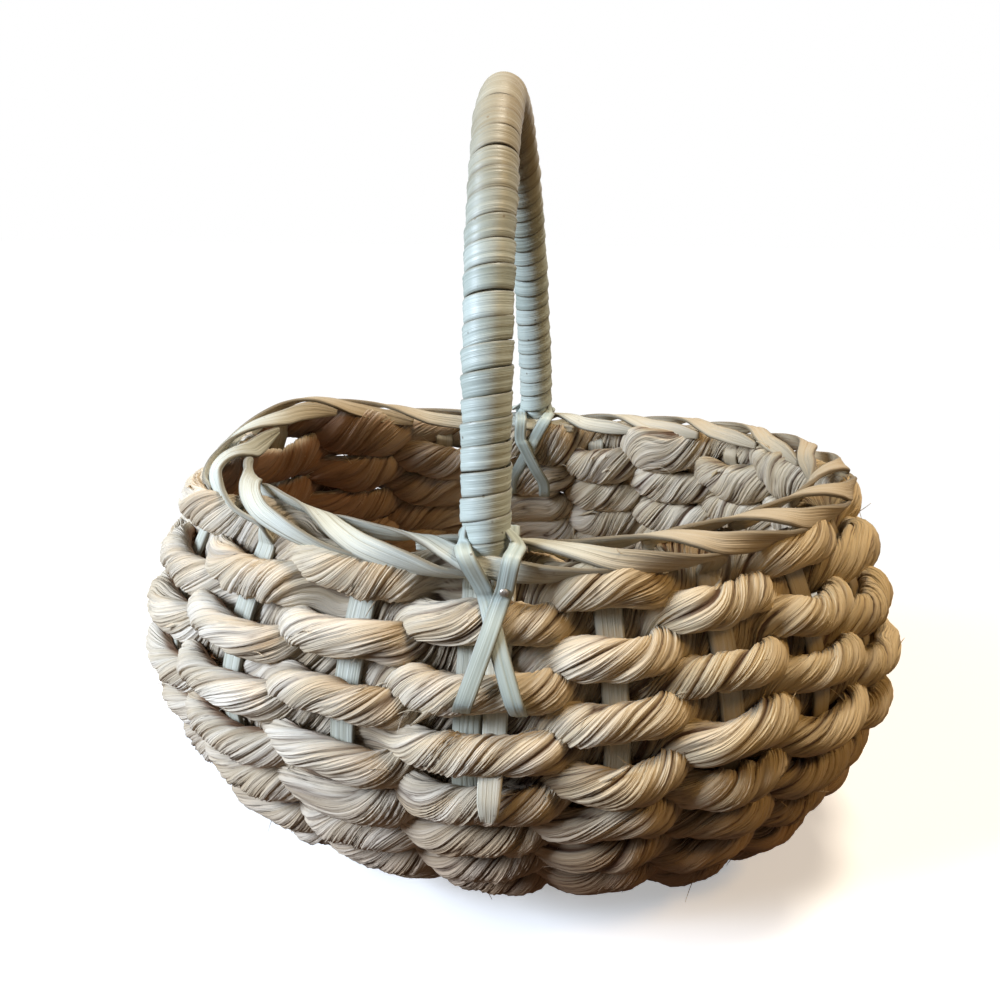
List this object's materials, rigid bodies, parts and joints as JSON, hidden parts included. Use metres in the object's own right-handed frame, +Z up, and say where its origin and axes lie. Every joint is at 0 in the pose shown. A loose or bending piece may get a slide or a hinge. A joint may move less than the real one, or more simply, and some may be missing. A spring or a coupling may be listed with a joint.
{
  "type": "gathering basket",
  "caption": "Oval bulging gathering basket of thick twisted leaf rope woven round flat split stakes, with a fixed strip-wound overhead handle.",
  "frame": {"origin": "middle of the basket on the plane that its foot stands on", "axes": "+Z up, X along the basket's long axis, Y along the handle's plane with the near side at -Y"},
  "size_m": [0.3397, 0.26, 0.3233],
  "materials": {
    "leaf_rope": "matte dried leaf",
    "split_stake": "split, unfinished",
    "handle_rod": "peeled, unfinished",
    "wound_strip": "smooth outer skin, satin",
    "lashing_strip": "smooth outer skin, satin",
    "nail": "dull"
  },
  "bodies": {
    "root": {"weaver_01": "leaf_rope", "weaver_02": "leaf_rope", "weaver_03": "leaf_rope", "weaver_04": "leaf_rope", "weaver_05": "leaf_rope", "weaver_06": "leaf_rope", "weaver_07": "leaf_rope", "weaver_08": "leaf_rope", "weaver_09": "leaf_rope", "weaver_10": "leaf_rope", "weaver_11": "leaf_rope", "weaver_12": "leaf_rope", "weaver_13": "leaf_rope", "weaver_14": "leaf_rope", "weaver_15": "leaf_rope", "weaver_16": "leaf_rope", "weaver_17": "leaf_rope", "weaver_18": "leaf_rope", "cross_stake_1": "split_stake", "cross_stake_2": "split_stake", "cross_stake_3": "split_stake", "cross_stake_4": "split_stake", "cross_stake_5": "split_stake", "cross_stake_6": "split_stake", "long_stake_1": "split_stake", "long_stake_2": "split_stake", "long_stake_3": "split_stake", "handle_rod": "handle_rod", "handle_wrap": "wound_strip", "near_outer_lash_under": "lashing_strip", "near_outer_lash_over": "lashing_strip", "near_inner_lash_under": "lashing_strip", "near_inner_lash_over": "lashing_strip", "far_outer_lash_under": "lashing_strip", "far_outer_lash_over": "lashing_strip", "far_inner_lash_under": "lashing_strip", "far_inner_lash_over": "lashing_strip", "near_lash_nail": "nail", "far_lash_nail": "nail"}
  },
  "joints": []
}
